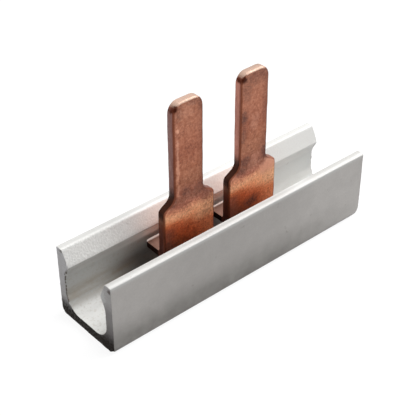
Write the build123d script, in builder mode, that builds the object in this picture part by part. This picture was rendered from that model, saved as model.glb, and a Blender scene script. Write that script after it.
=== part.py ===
from build123d import *
import os

os.makedirs("parts", exist_ok=True)

# Open insulating profile: X along its length, Y across, Z up from its underside
profile_length = 40.8
profile_width = 10.24
profile_height = 9.85
wall_thickness = 1.3
floor_thickness = 1.3
outer_corner_radius = 0.9
inner_corner_radius = 2.2

# Turned-in lips: a narrow rim, a slanted face down to the nose, and an undercut back to the wall
rim_width = 1.05
rim_outer_radius = 0.2
rim_inner_radius = 0.35
lip_reach = 2.1
lip_nose_drop = 2.2
lip_nose_radius = 0.4
lip_root_drop = 3.75
lip_root_radius = 2.5

# Stamped copper contacts: two alike, each a pin on sloping shoulders over a broad blade
contact_pitch = 10.2
copper_thickness = 1.0
pin_width = 4.5
pin_reach = 15.8
pin_corner_radius = 1.4
blade_width = 7.9
shoulder_rise = 1.95
shoulder_slope = 1.0
shoulder_radius = 0.75
neck_radius = 1.3
rolled_edge_radius = 0.3

# Base of each contact: a foot bent back under the far lip, a slit, and a leg that stands on the floor
foot_width = 3.8
foot_lip_clearance = 0.2
foot_wall_clearance = 0.6
foot_corner_radius = 0.45
bend_radius = 0.25
slit_width = 0.4

# Heights above the underside and distances from the middle, worked out from the sizes above
half_width = profile_width / 2
inner_half_width = half_width - wall_thickness
lip_root_height = profile_height - lip_root_drop
foot_top = lip_root_height - foot_lip_clearance
foot_middle = foot_top - copper_thickness / 2
foot_edge = inner_half_width - foot_wall_clearance
bend_start = foot_top + bend_radius
shoulder_height = profile_height + shoulder_rise
pin_top = profile_height + pin_reach
leg_edge = foot_width - blade_width / 2 + slit_width

# The profile is one extrusion with a mirrored section, cut square at both ends
with BuildPart() as insulating_profile:
    with BuildSketch(Plane.YZ):
        with BuildLine():
            FilletPolyline(
                (0, 0),
                (half_width, 0),
                (half_width, profile_height),
                (half_width - rim_width, profile_height),
                (half_width - lip_reach, profile_height - lip_nose_drop),
                (inner_half_width, lip_root_height),
                (inner_half_width, floor_thickness),
                (0, floor_thickness),
                radius=[
                    outer_corner_radius,
                    rim_outer_radius,
                    rim_inner_radius,
                    lip_nose_radius,
                    lip_root_radius,
                    inner_corner_radius,
                ],
            )
            mirror(about=Plane.YZ)
        make_face()
    extrude(amount=profile_length / 2, both=True)

insulating_profile.part.label = "insulating_profile"
export_step(insulating_profile.part, "parts/insulating_profile.step")

# The two contacts are the same stamping, one pitch apart about the middle of the profile
contact_centres = {
    "contact_pin_left": -contact_pitch / 2,
    "contact_pin_right": contact_pitch / 2,
}

for name, centre in contact_centres.items():
    with BuildPart() as contact:
        # Flat sheet seen from the front: pin, shoulders, blade, and the leg beside the slit
        with BuildSketch(Plane.XZ.shift_origin((centre, 0, 0))):
            with BuildLine():
                FilletPolyline(
                    (0, pin_top),
                    (pin_width / 2, pin_top),
                    (pin_width / 2, shoulder_height + shoulder_slope),
                    (blade_width / 2, shoulder_height),
                    (blade_width / 2, bend_start),
                    (0, bend_start),
                    radius=[pin_corner_radius, neck_radius, shoulder_radius, 0],
                )
                mirror(about=Plane.YZ)
            make_face()
            with Locations((leg_edge, floor_thickness)):
                Rectangle(
                    blade_width / 2 - leg_edge,
                    bend_start - floor_thickness,
                    align=(Align.MIN, Align.MIN),
                )
        extrude(amount=copper_thickness / 2, both=True)

        # Foot: the sheet carried down, round the bend and back towards the far wall
        foot_centre = centre + (foot_width - blade_width) / 2
        with BuildLine(Plane.YZ.offset(foot_centre)):
            bend = JernArc(
                start=(0, bend_start),
                tangent=(0, -1),
                radius=bend_radius + copper_thickness / 2,
                arc_size=90,
            )
            Line(bend @ 1, (foot_edge, foot_middle))
        with BuildSketch(Plane.XY.offset(bend_start)):
            with Locations((foot_centre, 0)):
                Rectangle(foot_width, copper_thickness)
        sweep()
        foot_corners = contact.edges().filter_by(Axis.Z).group_by(Axis.Y)[-1]
        fillet(foot_corners, foot_corner_radius)

        # Rounded edge that stamping leaves all round the front face of the sheet
        front_face = contact.faces().filter_by(Axis.Y).sort_by(Axis.Y)[0]
        pin_end = front_face.outer_wire().edges().sort_by(Axis.Z)[-1]
        fillet(pin_end, rolled_edge_radius)

    contact.part.label = name
    export_step(contact.part, f"parts/{name}.step")
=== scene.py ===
import math

import bmesh
import bpy
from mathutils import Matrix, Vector, noise


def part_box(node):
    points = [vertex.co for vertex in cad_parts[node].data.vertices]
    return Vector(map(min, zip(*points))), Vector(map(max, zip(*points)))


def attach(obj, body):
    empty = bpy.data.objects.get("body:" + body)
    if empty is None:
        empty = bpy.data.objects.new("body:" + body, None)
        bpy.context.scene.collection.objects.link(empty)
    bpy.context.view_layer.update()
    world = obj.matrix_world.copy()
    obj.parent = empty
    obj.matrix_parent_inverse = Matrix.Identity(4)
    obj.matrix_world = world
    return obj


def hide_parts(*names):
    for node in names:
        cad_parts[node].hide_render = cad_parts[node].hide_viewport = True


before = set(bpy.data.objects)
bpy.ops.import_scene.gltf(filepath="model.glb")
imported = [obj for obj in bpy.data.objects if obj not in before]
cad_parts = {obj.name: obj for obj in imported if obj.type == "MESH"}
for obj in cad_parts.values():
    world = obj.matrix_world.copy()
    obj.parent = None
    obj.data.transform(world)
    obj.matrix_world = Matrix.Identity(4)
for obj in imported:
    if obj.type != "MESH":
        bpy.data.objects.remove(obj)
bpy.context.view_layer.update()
scene = bpy.context.scene
mm = 0.001
noise.seed_set(4)  # the same burrs on every run
print("frame loaded")


# Small helpers for shader nodes
def newMaterial(name):
    made = bpy.data.materials.new(name)
    made.use_nodes = True
    made.node_tree.nodes.clear()
    return made, made.node_tree


def addNode(tree, kind, **settings):
    node = tree.nodes.new(kind)
    for key, value in settings.items():
        setattr(node, key, value)
    return node


def setInputs(node, **values):
    for key, value in values.items():
        node.inputs[key.replace("_", " ")].default_value = value


def plug(tree, value, socket):
    if isinstance(value, (int, float)):
        socket.default_value = value
    elif isinstance(value, tuple):
        socket.default_value = (*value, 1.0) if len(socket.default_value) == 4 else value
    else:
        tree.links.new(value, socket)


def mathNode(tree, operation, first, second=0.0, third=None, clamp=False):
    node = addNode(tree, "ShaderNodeMath", operation=operation, use_clamp=clamp)
    plug(tree, first, node.inputs[0])
    plug(tree, second, node.inputs[1])
    if third is not None:
        plug(tree, third, node.inputs[2])
    return node.outputs[0]


def product(tree, first, *others):
    for other in others:
        first = mathNode(tree, "MULTIPLY", first, other)
    return first


def mixColour(tree, factor, first, second, blend="MIX"):
    node = addNode(tree, "ShaderNodeMix", data_type="RGBA", blend_type=blend)
    plug(tree, factor, node.inputs[0])
    plug(tree, first, node.inputs[6])
    plug(tree, second, node.inputs[7])
    return node.outputs[2]


# Lays a colour over a tone where every mask is; a last plain number is its strength
def tint(tree, tone, colour, *masks, blend="MIX"):
    return mixColour(tree, product(tree, *masks), tone, colour, blend)


# Goes smoothly from toLow to toHigh while value goes from fromLow to fromHigh
def ramp(tree, value, fromLow, fromHigh, toLow=0.0, toHigh=1.0):
    node = addNode(tree, "ShaderNodeMapRange", interpolation_type="SMOOTHSTEP")
    setInputs(node, From_Min=fromLow, From_Max=fromHigh, To_Min=toLow, To_Max=toHigh)
    plug(tree, value, node.inputs["Value"])
    return node.outputs["Result"]


# A ramp along a coordinate, between two places in millimetres
def fade(tree, coordinate, places, toLow=0.0, toHigh=1.0):
    start, end = places
    return ramp(tree, coordinate, start * mm, end * mm, toLow, toHigh)


# 1 between the two middle places, in millimetres, and 0 beyond the outer two
def band(tree, coordinate, places):
    start, full, fading, end = places
    rising = fade(tree, coordinate, (start, full))
    return product(tree, rising, fade(tree, coordinate, (end, fading)))


def split(tree, vector):
    node = addNode(tree, "ShaderNodeSeparateXYZ")
    plug(tree, vector, node.inputs[0])
    return node.outputs["X"], node.outputs["Y"], node.outputs["Z"]


def bump(tree, height, strength, depth, below=None):
    node = addNode(tree, "ShaderNodeBump")
    setInputs(node, Strength=strength, Distance=depth * mm)
    plug(tree, height, node.inputs["Height"])
    if below is not None:
        plug(tree, below, node.inputs["Normal"])
    return node.outputs["Normal"]


def finishMaterial(tree, shader):
    out = addNode(tree, "ShaderNodeOutputMaterial")
    plug(tree, shader.outputs[0], out.inputs[0])


# Grain is a stretched noise on object coordinates, spread between two values
def makeGrainGroup():
    group = bpy.data.node_groups.new("grain", "ShaderNodeTree")
    face = group.interface
    for name in ("Coordinates", "Stretch"):
        face.new_socket(name, in_out="INPUT", socket_type="NodeSocketVector")
    for name in ("Size", "Detail", "Low", "High"):
        face.new_socket(name, in_out="INPUT", socket_type="NodeSocketFloat")
    face.new_socket("Value", in_out="OUTPUT", socket_type="NodeSocketFloat")
    given = addNode(group, "NodeGroupInput")
    result = addNode(group, "NodeGroupOutput")
    stretched = addNode(group, "ShaderNodeVectorMath", operation="MULTIPLY")
    plug(group, given.outputs["Coordinates"], stretched.inputs[0])
    plug(group, given.outputs["Stretch"], stretched.inputs[1])
    cloud = addNode(group, "ShaderNodeTexNoise")
    plug(group, stretched.outputs[0], cloud.inputs["Vector"])
    plug(group, given.outputs["Size"], cloud.inputs["Scale"])
    plug(group, given.outputs["Detail"], cloud.inputs["Detail"])
    spread = addNode(group, "ShaderNodeMapRange")
    plug(group, cloud.outputs["Fac"], spread.inputs["Value"])
    plug(group, given.outputs["Low"], spread.inputs["From Min"])
    plug(group, given.outputs["High"], spread.inputs["From Max"])
    plug(group, spread.outputs["Result"], result.inputs["Value"])
    return group


grainGroup = makeGrainGroup()


# size is the width of a grain in millimetres
def grain(tree, place, size, low=0.35, high=0.65, detail=3.0, stretch=(1, 1, 1)):
    node = addNode(tree, "ShaderNodeGroup", node_tree=grainGroup)
    setInputs(node, Size=1 / (size * mm), Low=low, High=high, Detail=detail, Stretch=stretch)
    plug(tree, place, node.inputs["Coordinates"])
    return node.outputs["Value"]


# A stain is an oval mark with a ragged outline
def makeStainGroup():
    group = bpy.data.node_groups.new("stain", "ShaderNodeTree")
    face = group.interface
    for name in ("Coordinates", "Centre", "Size"):
        face.new_socket(name, in_out="INPUT", socket_type="NodeSocketVector")
    for name in ("Ragged", "Strength"):
        face.new_socket(name, in_out="INPUT", socket_type="NodeSocketFloat")
    face.new_socket("Value", in_out="OUTPUT", socket_type="NodeSocketFloat")
    given = addNode(group, "NodeGroupInput")
    result = addNode(group, "NodeGroupOutput")
    away = addNode(group, "ShaderNodeVectorMath", operation="SUBTRACT")
    plug(group, given.outputs["Coordinates"], away.inputs[0])
    plug(group, given.outputs["Centre"], away.inputs[1])
    scaled = addNode(group, "ShaderNodeVectorMath", operation="DIVIDE")
    plug(group, away.outputs[0], scaled.inputs[0])
    plug(group, given.outputs["Size"], scaled.inputs[1])
    length = addNode(group, "ShaderNodeVectorMath", operation="LENGTH")
    plug(group, scaled.outputs[0], length.inputs[0])
    reach = mathNode(group, "ADD", length.outputs["Value"], given.outputs["Ragged"])
    mask = ramp(group, reach, 1.25, 0.35)  # soft from the centre to just past the outline
    mask = product(group, mask, given.outputs["Strength"])
    plug(group, mask, result.inputs["Value"])
    return group


stainGroup = makeStainGroup()


# Marks are given in millimetres, as centre, half sizes and strength.
# A half size of 99 ignores that axis.
def stains(tree, place, ragged, marks):
    total = 0.0
    for centre, size, strength in marks:
        node = addNode(tree, "ShaderNodeGroup", node_tree=stainGroup)
        plug(tree, place, node.inputs["Coordinates"])
        plug(tree, ragged, node.inputs["Ragged"])
        centre, size = [c * mm for c in centre], [half * mm for half in size]
        setInputs(node, Centre=centre, Size=size, Strength=strength)
        total = mathNode(tree, "MAXIMUM", total, node.outputs["Value"])
    return total


# Plastic of the profile: fine sandy lips, painted shade darkening the foot of the outer walls,
# and painted deep shade by the contacts
plastic = {
    "colour": (0.67, 0.642, 0.615),
    "cloud": (0.615, 0.59, 0.568),
    "low": (0.22, 0.206, 0.19),
    "rim": (0.56, 0.56, 0.545),
    "midRim": (0.70, 0.71, 0.70),
    "leftLip": (0.79, 0.79, 0.775),
    "rightLip": (0.66, 0.66, 0.645),
    "midLip": (0.97, 1.0, 1.0),
    "lipGrit": (0.52, 0.51, 0.495),
    "leftWall": (0.47, 0.475, 0.46),
    "rightWall": (0.62, 0.625, 0.61),
    "leftFloor": (0.72, 0.725, 0.71),
    "rightFloor": (0.82, 0.825, 0.81),
    "streak": (0.36, 0.305, 0.24),
    "shade": (0.035, 0.027, 0.022),
    "dirt": (0.30, 0.27, 0.24),
    "glow": (1.0, 0.98, 0.95),
    # How far up a face looks, from where a tone starts to where it is full
    "rimFacing": (0.8, 0.95),
    "lipFacing": (0.12, 0.35),
    "floorFacing": (0.72, 0.98),
    "underFacing": (-0.05, -0.3),
    # Places across the profile, in millimetres, from start to full
    "nearSide": (1, -1),
    "channelSide": (4.6, 4.1),
    "rimInner": (4.7, 4.3),
    "rimOuter": (4.6, 4.9),
    # Heights above the underside
    "footHeight": (5.6, 0.3),
    "channelHeight": (8.3, 7.6),
    "lipHeight": (7.1, 7.6),
    "noseHeight": (8.2, 7.7),
    "topHeight": (9, 9.7),
    "rimHeight": (9, 9.6),
    "nearRimHeight": (9.3, 9.6),
    "streakHeight": (1.5, 2.3, 3.4, 4.6),
    "shadeHeight": (6.6, 3.4),
    "undercutHeight": (5.8, 6.5),
    # Places along the profile, from the left end at -20.4 to the right end at 20.4
    "toRight": (-14, 12),
    "footAlong": (23, 2),
    "middle": (-17, -7, 4, 14),
    "byPins": (-14, -8, 9, 12),
    "streakAlong": (6, -8),
    "dustAlong": (6, -6),
    "shadeAlong": (-16, -8.6, 9, 10.5),
    "gritAlong": (16, 8),
    "noseAlong": (4, -6),
    "rimInnerAlong": (4, 14),
    "rimRight": (9, 14),
}


def makePlastic():
    made, tree = newMaterial("profilePlastic")
    shader = addNode(tree, "ShaderNodeBsdfPrincipled")
    coordinates = addNode(tree, "ShaderNodeTexCoord")
    place = coordinates.outputs["Object"]
    along, across, height = split(tree, place)
    upward = split(tree, coordinates.outputs["Normal"])[2]
    nearWall = fade(tree, across, plastic["nearSide"])
    across = mathNode(tree, "ABSOLUTE", across)
    inside = fade(tree, across, plastic["channelSide"])
    lipFacing = ramp(tree, upward, *plastic["lipFacing"])
    onLip = product(tree, inside, fade(tree, height, plastic["lipHeight"]), lipFacing)
    inChannel = product(tree, inside, fade(tree, height, plastic["channelHeight"]))
    onRim = ramp(tree, upward, *plastic["rimFacing"])
    middle = band(tree, along, plastic["middle"])
    byPins = band(tree, along, plastic["byPins"])
    toRight = fade(tree, along, plastic["toRight"])
    cloud = grain(tree, place, 7, low=0.3, high=0.7)
    mottle = grain(tree, place, 1.6, low=0.3, high=0.7)
    grit = grain(tree, place, 0.24, low=0.3, high=0.7, detail=2.0)
    pores = grain(tree, place, 0.3, low=0.3, high=0.7)
    drawn = grain(tree, place, 0.5, stretch=(0.03, 1, 1))
    spots = grain(tree, place, 0.9, low=0.69, high=0.76, detail=4.0)

    # Outer walls, with painted shade darkening them towards the underside at the left
    # and in the middle, and paler just under the rim
    tone = tint(tree, plastic["cloud"], plastic["colour"], cloud)
    tone = tint(tree, tone, plastic["low"], mottle, 0.1)
    foot = fade(tree, height, plastic["footHeight"])
    foot = product(tree, foot, fade(tree, along, plastic["footAlong"]))
    mottled = mathNode(tree, "MULTIPLY_ADD", mottle, 0.3, 0.75)
    tone = tint(tree, tone, plastic["low"], foot, mottled)
    tone = tint(tree, tone, plastic["low"], middle, 0.19)
    tone = tint(tree, tone, plastic["low"], pores, 0.1)
    tone = tint(tree, tone, plastic["leftLip"], fade(tree, height, plastic["topHeight"]), 0.5)
    # Rims with painted light beside the pins and painted shade along the middle of the near rim
    rimTone = tint(tree, plastic["rim"], plastic["lipGrit"], drawn, 0.3)
    rimTone = tint(tree, rimTone, plastic["midRim"], byPins, 0.6)
    rimTone = tint(tree, rimTone, plastic["low"], middle, nearWall, 0.36)
    tone = tint(tree, tone, rimTone, onRim, fade(tree, height, plastic["rimHeight"]))

    # Channel, with dust, brown lines low on its walls, and painted shade that makes its walls
    # darker than its floor and its left part darker than its right
    wallTone = tint(tree, plastic["leftWall"], plastic["rightWall"], toRight)
    floorTone = tint(tree, plastic["leftFloor"], plastic["rightFloor"], toRight)
    onFloor = ramp(tree, upward, *plastic["floorFacing"])
    channelTone = tint(tree, wallTone, floorTone, onFloor)
    dust = grain(tree, place, 0.3, low=0.52, high=0.7, detail=4.0)
    dustAlong = fade(tree, along, plastic["dustAlong"], 0.06, 0.36)
    channelTone = tint(tree, channelTone, plastic["streak"], dust, dustAlong)
    lines = grain(tree, place, 0.75, low=0.33, high=0.62, detail=5.0, stretch=(0.16, 1, 1))
    streaks = product(tree, band(tree, height, plastic["streakHeight"]), lines)
    streakAlong = fade(tree, along, plastic["streakAlong"], 0.1, 0.75)
    channelTone = tint(tree, channelTone, plastic["streak"], streaks, streakAlong)

    # Deep shade round the contacts, and a glow under the lips
    shade = band(tree, along, plastic["shadeAlong"])
    shade = product(tree, shade, fade(tree, height, plastic["shadeHeight"]))
    channelTone = tint(tree, channelTone, plastic["shade"], shade, 0.74)
    under = ramp(tree, upward, *plastic["underFacing"])
    under = product(tree, under, fade(tree, height, plastic["undercutHeight"], 0.3, 1.0))
    underAlong = mathNode(tree, "MULTIPLY_ADD", byPins, 0.75, 0.25)
    channelTone = tint(tree, channelTone, plastic["glow"], under, underAlong)
    tone = tint(tree, tone, channelTone, inChannel)

    # Lips, grittier at the left, with painted light at the left and beside the pins,
    # painted shade towards the right, and painted shade along the nose
    lipTone = tint(tree, plastic["leftLip"], plastic["rightLip"], toRight)
    grit = product(tree, grit, fade(tree, along, plastic["gritAlong"], 0.2, 1.0))
    lipTone = tint(tree, lipTone, plastic["lipGrit"], grit, 0.5)
    lipTone = tint(tree, lipTone, plastic["midLip"], byPins, 0.75)
    noseAlong = fade(tree, along, plastic["noseAlong"], 0.0, 0.35)
    atNose = fade(tree, height, plastic["noseHeight"])
    lipTone = tint(tree, lipTone, plastic["lipGrit"], atNose, noseAlong)
    tone = tint(tree, tone, lipTone, onLip)

    # Near rim, with painted shade along its inner edge and a painted highlight along its outer
    # one
    nearRim = product(tree, nearWall, fade(tree, height, plastic["nearRimHeight"]))
    rimInner = fade(tree, across, plastic["rimInner"])
    rimInner = product(tree, rimInner, fade(tree, along, plastic["rimInnerAlong"], 0.45, 0.25))
    atRight = fade(tree, along, plastic["rimRight"], 0.0, 0.14)
    rimInner = mathNode(tree, "ADD", rimInner, atRight)
    tone = tint(tree, tone, plastic["low"], rimInner, nearRim)
    rimOuter = fade(tree, across, plastic["rimOuter"])
    tone = tint(tree, tone, plastic["leftLip"], nearRim, rimOuter, 0.4)
    tone = tint(tree, tone, plastic["dirt"], spots, 0.45)
    plug(tree, tone, shader.inputs["Base Color"])

    rough = ramp(tree, drawn, 0, 1, 0.4, 0.5)
    rough = mathNode(tree, "ADD", rough, fade(tree, height, plastic["rimHeight"], 0.0, 0.2))
    plug(tree, rough, shader.inputs["Roughness"])
    normal = bump(tree, drawn, 0.25, 0.015)
    normal = bump(tree, product(tree, grit, onLip), 0.6, 0.035, below=normal)
    plug(tree, normal, shader.inputs["Normal"])
    finishMaterial(tree, shader)
    return made


# Sawn ends: rough, with painted light on the left end and painted shade down to nearly black
# along the underside
sawn = {
    "near": (0.70, 0.68, 0.67),
    "far": (0.86, 0.85, 0.86),
    "rightEnd": (0.47, 0.46, 0.445),
    "pale": (0.86, 0.86, 0.84),
    "sawLineAndShade": (0.42, 0.40, 0.39),
    "underShade": (0.022, 0.017, 0.014),
    "spot": (0.10, 0.07, 0.06),
    "nearFootShade": (0.10, 0.088, 0.09),
    "torn": (0.19, 0.165, 0.145),
    # Places in millimetres, from where a tone starts to where it is full
    "nearToFar": (-3, 3),
    "nearSide": (-2, -3.8),
    "atRight": (-1, 1),
    "atLeft": (1, -1),
    "shadedLowHeight": (9, 2.5),
    "nearShadeHeight": (7.9, 5.6),
    "nearDeepShadeHeight": (5, 1.8),
    "underShadeHeight": (3.4, 0.9),
    "crumbHeight": (4.42, 2.04),
    # Marks as centre, half sizes and strength
    # spots is painted shade at the near top corner, and paleMarks painted light on the near lip's
    # end
    "spots": [((0, -4.85, 9.25), (99, 0.35, 0.4), 0.75)],
    "paleMarks": [((0, -3.3, 7.9), (99, 0.9, 1.5), 0.9)],
    "tornMarks": [
        ((0, 4.15, 9.55), (99, 0.35, 0.2), 0.7),
        ((0, 3.25, 7.15), (99, 0.16, 0.35), 0.7),
        ((0, 3.55, 6.7), (99, 0.2, 0.45), 0.9),
        ((0, 3.84, 5.6), (99, 0.13, 1.0), 0.95),
        ((0, 3.84, 4.2), (99, 0.14, 1.1), 0.95),
        ((0, 3.66, 2.9), (99, 0.14, 0.5), 0.9),
    ],
}


def makeSawn():
    made, tree = newMaterial("sawnPlastic")
    shader = addNode(tree, "ShaderNodeBsdfPrincipled")
    place = addNode(tree, "ShaderNodeTexCoord").outputs["Object"]
    along, across, height = split(tree, place)
    lines = grain(tree, place, 0.16, low=0.3, high=0.7, stretch=(1, 0.25, 1))
    crumbs = grain(tree, place, 0.3, low=0.4, high=0.62, detail=4.0)
    ragged = product(tree, mathNode(tree, "SUBTRACT", crumbs, 0.5), 0.8)

    # Saw lines; painted light that makes the left end paler than the right end's own tone, most
    # on its far side; and painted shade darkening the ends downwards, most at the foot of the
    # near wall
    tone = tint(tree, sawn["near"], sawn["far"], fade(tree, across, sawn["nearToFar"]))
    tone = tint(tree, tone, sawn["rightEnd"], fade(tree, along, sawn["atRight"]))
    tone = tint(tree, tone, sawn["sawLineAndShade"], lines, 0.3)
    tone = tint(tree, tone, sawn["sawLineAndShade"], fade(tree, height, sawn["shadedLowHeight"]), 0.35)
    nearSide = fade(tree, across, sawn["nearSide"])
    nearFootShade = fade(tree, height, sawn["nearShadeHeight"], 0, 0.4)
    tone = tint(tree, tone, sawn["nearFootShade"], nearSide, nearFootShade)
    deepNearShade = fade(tree, height, sawn["nearDeepShadeHeight"], 0, 0.6)
    tone = tint(tree, tone, sawn["nearFootShade"], nearSide, deepNearShade)

    # Painted shade from the underside up, with a crumbly edge
    underShade = fade(tree, height, sawn["underShadeHeight"])
    underShade = mathNode(tree, "ADD", underShade, product(tree, ragged, 0.25), clamp=True)
    underShade = product(tree, underShade, fade(tree, height, sawn["crumbHeight"]))
    tone = tint(tree, tone, sawn["underShade"], underShade, 0.985)

    # Marks: painted light on the near lip's end at the left, painted shade at the near top
    # corner, and torn crumbs
    softly = product(tree, ragged, 0.5)
    paleMarks = stains(tree, place, softly, sawn["paleMarks"])
    tone = tint(tree, tone, sawn["pale"], paleMarks, fade(tree, along, sawn["atLeft"]))
    tone = tint(tree, tone, sawn["spot"], stains(tree, place, softly, sawn["spots"]))
    tornMarks = stains(tree, place, product(tree, ragged, 0.8), sawn["tornMarks"])
    tone = tint(tree, tone, sawn["torn"], tornMarks)
    plug(tree, tone, shader.inputs["Base Color"])
    setInputs(shader, Roughness=0.75, Specular_IOR_Level=0.05)
    plug(tree, bump(tree, lines, 0.5, 0.03), shader.inputs["Normal"])
    finishMaterial(tree, shader)
    return made


# Torn inner edge that the saw leaves: dark, with pale crumbs
torn = {
    "dark": (0.22, 0.195, 0.175),
    "pale": (0.80, 0.79, 0.78),
}


def makeTorn():
    made, tree = newMaterial("tornEdge")
    shader = addNode(tree, "ShaderNodeBsdfPrincipled")
    place = addNode(tree, "ShaderNodeTexCoord").outputs["Object"]
    crumbs = grain(tree, place, 0.35, low=0.5, high=0.62, detail=2.0)
    plug(tree, tint(tree, torn["dark"], torn["pale"], crumbs), shader.inputs["Base Color"])
    setInputs(shader, Roughness=0.8, Specular_IOR_Level=0.2)
    plug(tree, bump(tree, crumbs, 0.6, 0.05), shader.inputs["Normal"])
    finishMaterial(tree, shader)
    return made


# Copper of the contacts. The tones are stops up the contact, in millimetres,
# from the channel to the pin's end: the lowest are painted shade, the bright orange ones
# from 9.2 to 11.1 a painted reflection of the lit near lip, and those above the copper's own tone
copper = {
    "pitch": 10.2,
    "tones": {
        6.0: (0.36, 0.105, 0.045),
        7.2: (0.62, 0.165, 0.060),
        8.2: (0.73, 0.195, 0.074),
        9.2: (0.80, 0.280, 0.125),
        10.0: (1.00, 0.520, 0.285),
        10.6: (1.00, 0.610, 0.370),
        11.1: (0.90, 0.480, 0.295),
        11.8: (0.58, 0.262, 0.182),
        12.6: (0.45, 0.215, 0.148),
        13.6: (0.43, 0.182, 0.121),
        15.0: (0.44, 0.195, 0.118),
        17.0: (0.47, 0.198, 0.118),
        19.0: (0.41, 0.160, 0.097),
        21.0: (0.475, 0.200, 0.123),
        24.0: (0.46, 0.202, 0.126),
    },
    "span": 26.0,
    "mottle": (0.49, 0.325, 0.27),
    "dust": (0.50, 0.27, 0.18),
    "speckAndShade": (0.115, 0.035, 0.026),
    "tarnishAndShade": (0.108, 0.048, 0.039),
    "rightGlow": (0.95, 0.36, 0.17),
    "leftShade": (0.27, 0.135, 0.105),
    "cornerShade": (0.050, 0.012, 0.006),
    "worn": (0.68, 0.35, 0.24),
    "flankLow": (0.085, 0.022, 0.012),
    "foot": (0.235, 0.138, 0.108),
    "footEdgeHighlight": (0.97, 0.95, 0.92),
    "flankLeft": (0.175, 0.095, 0.088),
    "flankRight": (0.400, 0.172, 0.130),
    "edgeLine": (0.140, 0.040, 0.020),
    "creaseShade": (0.022, 0.008, 0.005),
    "cut": (0.375, 0.262, 0.208),
    # Tones lower on the blade's right side, and how ragged their edges are
    "bladeHeight": (10.6, 9.2),
    "bladeWidth": (-3, 3.2),
    "bladeLift": (-0.7, 1.3),
    "raggedLevel": 0.8,
    # Places from the contact's middle and heights, from start to full
    "glowSide": (0.5, 3.2),
    "glowHeight": (8.7, 7.8),
    "shadeSide": (-1.6, -3.5),
    "shadeHeight": (9.8, 8.7),
    "upperPin": (24, 16),
    "aboveBlade": (10.5, 13),
    "dustHeight": (13, 11),
    "darkSide": (0.9, 2.2),
    "darkHeight": (12.5, 14),
    "outlineSide": (1.9, 2.15),
    "outlineHeight": (12.8, 13.6),
    "flankHeight": (15, 11),
    "flankPatchHeight": (13, 10),
    "leftToRight": (-0.5, 0.5),
    "neckHeight": (10.4, 11.4, 13.2, 15),
    "leftSide": (1, -1),
    "cutHeight": (24, 24.6),
    "footHeight": (7, 6.5),
    "footHighlightDepth": (2.8, 3),
    "footSideDepth": (0.6, 1),
    "roughHeight": (13.5, 11.5),
    "grainHeight": (10.5, 12.5),
    "smootherHeight": (13, 15),
    # Marks as centre, half sizes and strength
    "tarnishAndShadeMarks": [
        ((-5.64, 0, 13.5), (0.8, 99, 0.8), 0.8),
        ((-3.3, 0, 13.3), (1.4, 99, 1.1), 0.6),
        ((-2.4, 0, 11.6), (1.1, 99, 1.9), 0.65),
        ((3.4, 0, 19.7), (0.65, 99, 1.3), 1.05),
        ((3.4, 0, 17.4), (0.65, 99, 1.4), 0.75),
        ((3.8, 0, 13.5), (1.1, 99, 0.8), 1.0),
        ((3.2, 0, 12.3), (1.1, 99, 0.7), 0.9),
        ((7.0, 0, 13.6), (0.7, 99, 1.3), 1.1),
        ((4.8, 0, 7.2), (1.5, 99, 0.8), 1.1),
        ((5.4, 0, 24.9), (2.3, 99, 1.2), 0.7),
        ((3.7, 0, 23.4), (0.9, 99, 1.6), 0.6),
        ((6.9, 0, 24.4), (0.6, 99, 0.9), 0.5),
        ((-4.2, 0, 25.2), (1.5, 99, 0.6), 0.6),
        ((-3.3, 0, 24.5), (0.6, 99, 0.9), 0.5),
        ((-6.5, 0, 24.5), (0.9, 99, 1.4), 0.5),
        ((-7.6, 0, 12.6), (0.8, 99, 0.7), 0.7),
        ((-1.8, 0, 10.0), (1.5, 99, 2.2), 0.42),
        ((6.8, 0, 20.5), (0.5, 99, 2.5), 0.25),
        ((2.6, 0, 12.6), (0.8, 99, 0.7), 0.7),
    ],
    "cornerShadeMarks": [
        ((-6.95, -0.5, 25.0), (0.6, 0.7, 0.42), 1.0),
        ((3.3, -0.5, 24.95), (0.6, 0.7, 0.46), 1.0),
        ((-7.3, -0.1, 24.9), (0.3, 0.8, 0.42), 1.0),
        ((2.9, -0.1, 24.9), (0.3, 0.8, 0.42), 1.0),
    ],
    "wearAndHighlightMarks": [
        ((-6.78, 0, 17.8), (0.26, 99, 4.6), 0.5),
        ((-6.68, 0, 22.1), (0.3, 99, 0.4), 0.8),
        ((5.1, 0, 18.6), (0.9, 99, 1.6), 0.22),
        ((5.3, 0, 13.2), (1.0, 99, 1.2), 0.18),
        ((7.8, 0, 11.4), (1.7, 99, 1.4), 0.85),
        ((-5.4, 0, 24.2), (1.4, 99, 1.0), 0.22),
    ],
}


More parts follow.
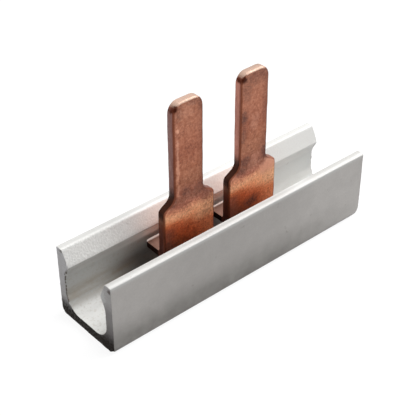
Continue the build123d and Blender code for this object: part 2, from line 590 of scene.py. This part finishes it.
def makeCopper():
    made, tree = newMaterial("contactCopper")
    shader = addNode(tree, "ShaderNodeBsdfPrincipled")
    coordinates = addNode(tree, "ShaderNodeTexCoord")
    place = coordinates.outputs["Object"]
    x, y, height = split(tree, place)
    normals = split(tree, coordinates.outputs["Normal"])
    facing = [mathNode(tree, "ABSOLUTE", part) for part in normals]
    pitch = copper["pitch"] * mm
    fromMiddle = mathNode(tree, "WRAP", x, pitch, 0.0)
    fromMiddle = mathNode(tree, "SUBTRACT", fromMiddle, pitch / 2)
    leather = grain(tree, place, 0.34, low=0.3, high=0.7)
    patch = grain(tree, place, 1.8, low=0.35, high=0.65)
    fine = grain(tree, place, 0.2, low=0.38, high=0.76)
    ragged = mathNode(tree, "ADD", product(tree, patch, 0.5), product(tree, leather, 0.5))
    ragged = mathNode(tree, "SUBTRACT", ragged, 0.5)

    # Tones up the contact, with their painted shade and painted reflection sitting lower on the
    # blade's right side, and a ragged edge above the blade
    lowest, highest = [lift * mm for lift in copper["bladeLift"]]
    lift = fade(tree, fromMiddle, copper["bladeWidth"], lowest, highest)
    lift = product(tree, lift, fade(tree, height, copper["bladeHeight"]))
    level = mathNode(tree, "ADD", height, lift)
    level = mathNode(tree, "ADD", level, product(tree, ragged, copper["raggedLevel"] * mm))
    stops = addNode(tree, "ShaderNodeValToRGB")
    plug(tree, mathNode(tree, "DIVIDE", level, copper["span"] * mm), stops.inputs[0])
    blend = stops.color_ramp
    while len(blend.elements) < len(copper["tones"]):
        blend.elements.new(0.5)
    for stop, (stopHeight, stopTone) in zip(blend.elements, copper["tones"].items()):
        stop.position = stopHeight / copper["span"]
        stop.color = (*stopTone, 1.0)
    tone = stops.outputs[0]

    # A glow at the right of the blade and shade at its left
    glow = fade(tree, fromMiddle, copper["glowSide"])
    glow = product(tree, glow, fade(tree, height, copper["glowHeight"]))
    tone = tint(tree, tone, copper["rightGlow"], glow, 0.85)
    shade = fade(tree, fromMiddle, copper["shadeSide"])
    shade = product(tree, shade, fade(tree, height, copper["shadeHeight"]))
    tone = tint(tree, tone, copper["leftShade"], shade, 0.6)

    # Dust, mottling and red specks that thin out up the pin
    lower = fade(tree, height, copper["upperPin"], 0.85, 1.0)
    lower = product(tree, lower, fade(tree, height, copper["aboveBlade"], 0.45, 1.0))
    dusty = fade(tree, height, copper["dustHeight"], 0.1, 0.5)
    tone = tint(tree, tone, copper["dust"], fine, dusty, blend="MULTIPLY")
    tone = tint(tree, tone, copper["mottle"], leather, lower, 0.6, blend="MULTIPLY")
    patchy = mathNode(tree, "MULTIPLY_ADD", patch, 0.5, 0.25)
    tone = tint(tree, tone, copper["speckAndShade"], fine, lower, patchy)

    # Painted shade on the right side of the pin and its right outline; tarnish patches, some of
    # them painted shade under the top edges; worn spots, some of them painted highlights by the
    # left pin's left edge
    darker = fade(tree, fromMiddle, copper["darkSide"])
    darker = product(tree, darker, fade(tree, height, copper["darkHeight"]))
    tone = tint(tree, tone, copper["speckAndShade"], darker, 0.36)
    outline = fade(tree, fromMiddle, copper["outlineSide"])
    outline = product(tree, outline, fade(tree, height, copper["outlineHeight"]))
    tone = tint(tree, tone, copper["tarnishAndShade"], outline, 0.55)
    tarnishAndShadeMask = stains(tree, place, product(tree, ragged, 0.9), copper["tarnishAndShadeMarks"])
    speckled = mathNode(tree, "MULTIPLY_ADD", fine, 0.6, 0.45)
    tone = tint(tree, tone, copper["tarnishAndShade"], tarnishAndShadeMask, speckled)
    tone = tint(tree, tone, copper["worn"], stains(tree, place, ragged, copper["wearAndHighlightMarks"]))

    # Sheared sides in painted shade, darker on the left and low down, and a dark red line of
    # painted shade where they meet the front
    side = ramp(tree, facing[0], 0.45, 0.9)
    atRight = fade(tree, x, copper["leftToRight"])
    flank = tint(tree, copper["flankLeft"], copper["flankRight"], atRight)
    flank = tint(tree, flank, copper["flankLow"], fade(tree, height, copper["flankHeight"]))
    flankPatch = fade(tree, height, copper["flankPatchHeight"], 0.0, 0.3)
    flank = tint(tree, flank, copper["flankLeft"], patch, flankPatch)
    tears = grain(tree, place, 0.3, stretch=(1, 1, 0.15))
    flank = tint(tree, flank, copper["speckAndShade"], tears, 0.4)
    tone = tint(tree, tone, flank, side, 0.9)
    edge = product(tree, ramp(tree, facing[0], 0.08, 0.3), ramp(tree, facing[0], 0.97, 0.8))
    tone = tint(tree, tone, copper["edgeLine"], edge, 0.8)

    # Painted near-black shade in the hollow at the left of the neck, and a cut top whose paler
    # tone is partly the cut copper's own and partly painted light
    rim = ramp(tree, facing[1], 0.75, 0.35)
    neck = band(tree, height, copper["neckHeight"])
    atLeft = fade(tree, fromMiddle, copper["leftSide"])
    tone = tint(tree, tone, copper["creaseShade"], rim, neck, atLeft, 0.92)
    flat = ramp(tree, facing[2], 0.55, 0.8)
    rolled = product(tree, ramp(tree, facing[2], 0.2, 0.5), ramp(tree, facing[0], 0.35, 0.15))
    top = mathNode(tree, "MAXIMUM", flat, rolled)
    top = product(tree, top, fade(tree, height, copper["cutHeight"]))
    tone = tint(tree, tone, copper["cut"], top)

    # Foot, with painted shade on its end, a painted highlight along its far edge, and painted
    # shade in the rounded top corners of the pins
    low = fade(tree, height, copper["footHeight"])
    footEdgeHighlight = product(tree, fade(tree, y, copper["footHighlightDepth"]), flat, low)
    footSide = fade(tree, y, copper["footSideDepth"])
    tone = tint(tree, tone, copper["creaseShade"], side, low, footSide)
    tone = tint(tree, tone, copper["foot"], flat, low)
    tone = tint(tree, tone, copper["footEdgeHighlight"], footEdgeHighlight)
    tone = tint(tree, tone, copper["cornerShade"], stains(tree, place, ragged, copper["cornerShadeMarks"]))
    plug(tree, tone, shader.inputs["Base Color"])
    plug(tree, mathNode(tree, "SUBTRACT", 1.0, footEdgeHighlight), shader.inputs["Metallic"])

    rough = ramp(tree, leather, 0, 1, 0.36, 0.48)
    rough = mathNode(tree, "ADD", rough, fade(tree, height, copper["roughHeight"], 0.0, 0.15))
    rough = mathNode(tree, "ADD", rough, product(tree, top, 0.16))
    plug(tree, rough, shader.inputs["Roughness"])
    grainy = fade(tree, height, copper["grainHeight"], 0.35, 1.0)
    grainy = product(tree, grainy, fade(tree, height, copper["smootherHeight"], 1.0, 0.6))
    normal = bump(tree, leather, 0.35, 0.03)
    normal = bump(tree, product(tree, fine, grainy), 0.5, 0.02, below=normal)
    plug(tree, normal, shader.inputs["Normal"])
    finishMaterial(tree, shader)
    return made


profilePlastic = makePlastic()
sawnPlastic = makeSawn()
tornEdge = makeTorn()
contactCopper = makeCopper()
print("materials made")

# Millimetres and degrees that every piece shares
meshing = {
    "mergeWithin": 0.002,
    "flatWithin": 0.5,
    "smoothBelow": 40,
}


# A CAD node's triangles, merged back into whole faces
def wholeFaces(node):
    mesh = bmesh.new()
    mesh.from_mesh(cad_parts[node].data)
    bmesh.ops.remove_doubles(mesh, verts=mesh.verts, dist=meshing["mergeWithin"] * mm)
    limit = math.radians(meshing["flatWithin"])
    bmesh.ops.dissolve_limit(mesh, angle_limit=limit, verts=mesh.verts, edges=mesh.edges)
    return mesh


# Cuts across a mesh at even steps along an axis
def sliceAlong(mesh, axis, low, high, step):
    count = round((high - low) / step)
    normal = Vector([float(axis == n) for n in range(3)])
    for n in range(1, count):
        middle = normal * (low + (high - low) * n / count)
        geometry = mesh.verts[:] + mesh.edges[:] + mesh.faces[:]
        bmesh.ops.bisect_plane(mesh, geom=geometry, dist=1e-7, plane_co=middle, plane_no=normal)


def bevelEdges(mesh, edges, width):
    made = bmesh.ops.bevel(
        mesh,
        geom=edges,
        offset=width,
        offset_type="OFFSET",
        segments=2,
        profile=0.5,
        affect="EDGES",
        material=-1,
        clamp_overlap=True,
    )
    return made["faces"]


def finishPiece(mesh, name, node, materials):
    mesh.normal_update()
    for face in mesh.faces:
        face.smooth = True
    sharp = math.radians(meshing["smoothBelow"])
    for edge in mesh.edges:
        edge.smooth = len(edge.link_faces) == 2 and edge.calc_face_angle() < sharp
    data = bpy.data.meshes.new(name)
    mesh.to_mesh(data)
    mesh.free()
    piece = bpy.data.objects.new(name, data)
    scene.collection.objects.link(piece)
    for material in materials:
        data.materials.append(material)
    weighted = piece.modifiers.new("flat faces stay flat", "WEIGHTED_NORMAL")
    weighted.keep_sharp = True
    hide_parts(node)
    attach(piece, "root")


# The profile, with sawn ends whose edges are slightly broken and burred
profile = {
    "edgeStep": 0.3,
    "edgeWidth": 0.1,
    "ragged": 0.04,
    "raggedInside": 1.6,
    "raggedOutside": 0.7,
    "burr": 0.16,
    "burrGrain": 0.35,
    "spikeGrain": 0.6,
    "spikeFrom": 0.25,
    "burrDepths": (2.2, 0.4),
    "burrAbove": 2,
    "tornDepths": (2.2, 0.9),
    "tornHeights": (2.2, 7),
    "wornCorners": (0.8, 1.7),
    "endSlice": 1,
    "slice": 1.7,
}


# Edges round the two sawn ends, always in the same order
def endEdges(mesh):
    def atEnd(edge):
        return any(face.material_index == 1 for face in edge.link_faces)

    return [edge for edge in mesh.edges if atEnd(edge)]


# Frays one point of an end, pulls burrs inwards, and wears the lower near corner back
def roughenEnd(vert, low, high):
    deepest, shallowest = [high[1] - depth * mm for depth in profile["burrDepths"]]
    inner = deepest < vert.co.y < shallowest and vert.co.z > profile["burrAbove"] * mm
    share = profile["raggedInside"] if inner else profile["raggedOutside"]
    jitter = noise.noise_vector(vert.co / (profile["burrGrain"] * mm))
    vert.co += jitter * profile["ragged"] * mm * share
    spike = noise.noise(vert.co / (profile["spikeGrain"] * mm) + Vector((7, 3, 1)))
    spike -= profile["spikeFrom"]
    if inner and spike > 0:
        vert.co.y -= profile["burr"] * mm * spike * 2
    worn = profile["wornCorners"][vert.co.x > 0] * mm
    short = min(worn - (vert.co.z - low[2]), 0.9 * worn)
    if vert.co.y < low[1] + worn and short > 0:
        inwards = (vert.co.y - low[1]) / worn
        cut = (worn - math.sqrt(worn ** 2 - short ** 2)) * (1 - inwards ** 2)
        vert.co.x -= math.copysign(cut, vert.co.x)
    vert.co.z = max(vert.co.z, low[2])


def makeProfile():
    mesh = wholeFaces("insulating_profile")
    low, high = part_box("insulating_profile")
    for face in mesh.faces:
        if abs(face.normal.x) > 0.99:
            face.material_index = 1
    for edge in endEdges(mesh):
        cuts = round(edge.calc_length() / (profile["edgeStep"] * mm)) - 1
        if cuts > 0:
            bmesh.ops.subdivide_edges(mesh, edges=[edge], cuts=cuts)
    deepest, shallowest = [high[1] - depth * mm for depth in profile["tornDepths"]]
    lowest, highest = [height * mm for height in profile["tornHeights"]]
    for face in bevelEdges(mesh, endEdges(mesh), profile["edgeWidth"] * mm):
        middle = face.calc_center_median()
        if deepest < middle.y < shallowest and lowest < middle.z < highest:
            face.material_index = 2
    reach = 3 * profile["edgeWidth"] * mm
    for vert in mesh.verts:
        if min(vert.co.x - low[0], high[0] - vert.co.x) <= reach:
            roughenEnd(vert, low, high)
    margin = profile["endSlice"] * mm
    sliceAlong(mesh, 0, low[0] + margin, high[0] - margin, profile["slice"] * mm)
    materials = [profilePlastic, sawnPlastic, tornEdge]
    finishPiece(mesh, "insulatingProfile", "insulating_profile", materials)


# The contacts: the back edges lose their sharpness, and the sheet swells and dips a little
contact = {
    "sharpAngle": 60,
    "backEdge": 0.07,
    "slice": 0.35,
    "swell": 0.045,
    "swellGrain": 2.4,
    "dent": 0.018,
    "dentGrain": 0.7,
    "flatBelow": 0.5,
}


def isSharp(edge):
    limit = math.radians(contact["sharpAngle"])
    return len(edge.link_faces) == 2 and edge.calc_face_angle() > limit


def makeContact(node, name):
    mesh = wholeFaces(node)
    low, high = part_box(node)
    bevelEdges(mesh, [edge for edge in mesh.edges if isSharp(edge)], contact["backEdge"] * mm)
    sliceAlong(mesh, 2, low[2], high[2], contact["slice"] * mm)
    sliceAlong(mesh, 0, low[0], high[0], contact["slice"] * mm)
    mesh.normal_update()
    for vert in mesh.verts:
        if vert.co.z < low[2] + contact["flatBelow"] * mm:
            continue
        swell = noise.noise(vert.co / (contact["swellGrain"] * mm)) * contact["swell"]
        dent = noise.noise(vert.co / (contact["dentGrain"] * mm)) * contact["dent"]
        vert.co += vert.normal * (swell + dent) * mm
    finishPiece(mesh, name, node, [contactCopper])


makeProfile()
makeContact("contact_pin_left", "contactPinLeft")
makeContact("contact_pin_right", "contactPinRight")
print("pieces made")

# Floor and world: white to the camera and in reflections, plain and dimmer as a source of light
studio = {
    "floorReach": 400,
    "floorColour": (0.12, 0.12, 0.122),
    "floorGlow": 0.90,
    "worldLight": 0.28,
}


def seenDirectly(tree):
    path = addNode(tree, "ShaderNodeLightPath")
    seen = mathNode(tree, "MAXIMUM", path.outputs["Is Camera Ray"], path.outputs["Is Glossy Ray"])
    return mathNode(tree, "MAXIMUM", seen, path.outputs["Is Transmission Ray"])


def makeFloor():
    bpy.ops.mesh.primitive_plane_add(size=2 * studio["floorReach"] * mm)
    floor = bpy.context.object
    floor.name = "floor"
    made, tree = newMaterial("floorPaper")
    paper = addNode(tree, "ShaderNodeBsdfDiffuse")
    plug(tree, studio["floorColour"], paper.inputs["Color"])
    glow = addNode(tree, "ShaderNodeEmission")
    strength = product(tree, seenDirectly(tree), studio["floorGlow"])
    plug(tree, strength, glow.inputs["Strength"])
    added = addNode(tree, "ShaderNodeAddShader")
    plug(tree, paper.outputs[0], added.inputs[0])
    plug(tree, glow.outputs[0], added.inputs[1])
    finishMaterial(tree, added)
    floor.data.materials.append(made)


def makeWorld():
    world = bpy.data.worlds.new("studio")
    world.use_nodes = True
    tree = world.node_tree
    tree.nodes.clear()
    back = addNode(tree, "ShaderNodeBackground")
    plug(tree, (1.0, 1.0, 1.0), back.inputs["Color"])
    extra = product(tree, seenDirectly(tree), 1 - studio["worldLight"])
    plug(tree, mathNode(tree, "ADD", extra, studio["worldLight"]), back.inputs["Strength"])
    out = addNode(tree, "ShaderNodeOutputWorld")
    plug(tree, back.outputs[0], out.inputs[0])
    scene.world = world


# Lamps, in millimetres from the middle of the underside, all turned to the same point
white = (1.0, 1.0, 1.0)
warm = (1.0, 0.995, 0.985)
lampAim = (0, 0, 8)
lamps = {
    "rightBox": {"place": (250, -40, 300), "size": 320, "power": 1.92, "colour": warm},
    "backBox": {"place": (20, 100, 170), "size": 160, "power": 0.11, "colour": white},
    "frontFill": {"place": (100, -100, 140), "size": 160, "power": 0.12, "colour": white},
    "leftFill": {"place": (-230, 60, 110), "size": 160, "power": 0.12, "colour": white},
}


def makeLamps():
    for name, lamp in lamps.items():
        data = bpy.data.lights.new(name, "AREA")
        data.size = lamp["size"] * mm
        data.energy = lamp["power"]
        data.color = lamp["colour"]
        made = bpy.data.objects.new(name, data)
        scene.collection.objects.link(made)
        place = Vector(lamp["place"]) * mm
        aim = Vector(lampAim) * mm - place
        made.location = place
        made.rotation_euler = aim.to_track_quat("-Z", "Y").to_euler()


# Camera at the photograph's place, in millimetres and degrees.
# Azimuth 0 looks along +Y, and pitch is the angle below level.
view = {
    "place": (-70.723, -78.542, 85.311),
    "azimuth": 41.2768,
    "pitch": 36.1251,
    "lens": 92.558,
    "sensor": 36,
    "clip": (5, 5000),
}


def makeCamera():
    data = bpy.data.cameras.new("camera")
    data.lens = view["lens"]
    data.sensor_width = view["sensor"]
    data.clip_start, data.clip_end = [distance * mm for distance in view["clip"]]
    made = bpy.data.objects.new("camera", data)
    scene.collection.objects.link(made)
    azimuth, pitch = math.radians(view["azimuth"]), math.radians(view["pitch"])
    made.rotation_euler = (math.pi / 2 - pitch, 0, -azimuth)
    made.location = Vector(view["place"]) * mm
    scene.camera = made


makeFloor()
makeWorld()
makeLamps()
makeCamera()
scene.view_settings.view_transform = "Standard"
print("studio set")
